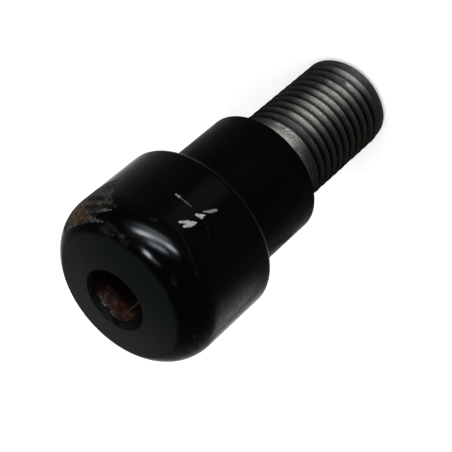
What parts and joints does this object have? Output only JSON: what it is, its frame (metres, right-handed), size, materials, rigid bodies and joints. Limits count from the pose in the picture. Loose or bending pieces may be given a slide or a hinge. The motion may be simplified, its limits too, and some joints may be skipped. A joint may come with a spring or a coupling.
{
  "type": "bar end weight",
  "caption": "Turned steel bar end weight: domed black head with a six-sided key socket, a plain shoulder and a bare threaded stud.",
  "frame": {"origin": "centre of the stud's flat end, on which the part stands", "axes": "+Z along the turning axis, from the stud's end to the domed face; +X through a corner of the key socket"},
  "size_m": [0.0244, 0.0244, 0.0516],
  "materials": {
    "weight": "gloss"
  },
  "bodies": {
    "root": {"weight": "weight"}
  },
  "joints": []
}
